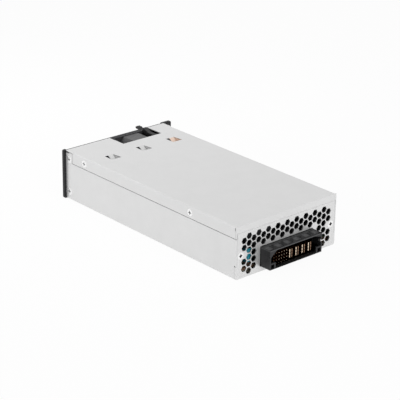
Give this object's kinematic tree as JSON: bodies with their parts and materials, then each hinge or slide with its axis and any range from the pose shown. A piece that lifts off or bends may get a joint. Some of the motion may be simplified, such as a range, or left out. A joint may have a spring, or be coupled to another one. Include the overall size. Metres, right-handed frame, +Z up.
{
  "type": "hot swap server power supply",
  "caption": "Slim sheet-metal power supply that slides into a server bay, with a rear blind-mate connector, hexagonal vents, front latch, fan, inlet and bail handle.",
  "frame": {"origin": "centre of the case's flat base, midway between its front and rear edges", "axes": "+Y along the length towards the blind-mate connector, +X across the width, +Z up"},
  "size_m": [0.1111, 0.2208, 0.042],
  "materials": {
    "zinc_steel": "bright zinc plated sheet, satin",
    "black_plastic": "moulded, fine texture",
    "connector_black": "glass-filled, satin",
    "fan_black": "moulded",
    "black_coat": "black powder coat on steel",
    "bright_steel": "zinc plated, bright",
    "gold_contact": "gold flash over copper",
    "copper_wire": "enamelled copper",
    "board_laminate": "solder mask over glass epoxy",
    "wire_jacket": "PVC insulation, dull",
    "plug_nylon": "natural nylon",
    "film": "thin insulating film",
    "ferrite": "sintered, matt",
    "box_capacitor": "moulded box",
    "disc_capacitor": "dipped",
    "ceramic_tube": "glazed tube with plated caps",
    "epoxy_black": "moulded epoxy",
    "dark_sleeve": "shrink sleeve on an aluminium can",
    "teal_sleeve": "teal shrink sleeve on an aluminium can",
    "sink_aluminium": "extruded, plain",
    "yellow_tape": "polyester tape over the winding",
    "clear_plastic": "clear moulded"
  },
  "bodies": {
    "case": {"chassis_tray": "zinc_steel", "rear_panel": "zinc_steel", "top_cover": "zinc_steel", "front_panel": "zinc_steel", "front_bezel": "black_plastic", "latch_bracket": "black_coat", "latch_pin": "bright_steel", "latch_spring": "bright_steel", "cover_screws": "bright_steel", "front_screws": "bright_steel", "rear_screws": "bright_steel", "clinch_nuts": "bright_steel", "connector_housing": "connector_black", "signal_pins": "gold_contact", "power_blades": "gold_contact", "inlet_housing": "black_plastic", "inlet_pins": "bright_steel", "inlet_leads": "wire_jacket", "fan_lead": "wire_jacket", "fan_plug": "plug_nylon", "fan_housing": "fan_black", "fan_bearings": "bright_steel", "fan_stator": "copper_wire", "fan_screws": "bright_steel", "main_board": "board_laminate", "board_standoffs": "bright_steel", "board_screws": "bright_steel", "insulator_sheet": "film", "line_choke_core": "ferrite", "line_choke_windings": "copper_wire", "line_choke_base": "black_plastic", "x_capacitors": "box_capacitor", "y_capacitors": "disc_capacitor", "input_fuse": "ceramic_tube", "bridge_rectifier": "epoxy_black", "boost_choke_core": "ferrite", "boost_choke_winding": "copper_wire", "bulk_capacitors": "dark_sleeve", "primary_heatsink": "sink_aluminium", "secondary_heatsink": "sink_aluminium", "primary_transistors": "epoxy_black", "secondary_transistors": "epoxy_black", "transformer_core": "ferrite", "transformer_winding": "yellow_tape", "output_choke": "ferrite", "output_capacitors": "teal_sleeve", "output_busbars": "copper_wire", "control_board": "board_laminate", "control_header": "black_plastic", "light_pipe": "clear_plastic", "status_led": "clear_plastic"},
    "latch": {"latch_lever": "black_plastic"},
    "handle": {"pull_handle": "black_coat"},
    "rotor": {"fan_impeller": "fan_black", "fan_shaft": "bright_steel"}
  },
  "joints": [
    {"name": "latch_press", "type": "hinge", "parent": "case", "child": "latch", "pos_m": [-0.0294, -0.078, 0.0356], "axis": [1, 0, 0], "range_deg": [0, 8], "stiffness_Nm_per_rad": 0.6, "springref_deg": -6.88, "deforming": ["latch_spring"]},
    {"name": "handle_swing", "type": "hinge", "parent": "case", "child": "handle", "pos_m": [-0.0414, -0.1072, 0.026], "axis": [-1, 0, 0], "range_deg": [0, 95]},
    {"name": "fan_spin", "type": "hinge", "parent": "case", "child": "rotor", "pos_m": [0.0272, -0.089, 0.0206], "axis": [0, 1, 0], "continuous": true}
  ]
}
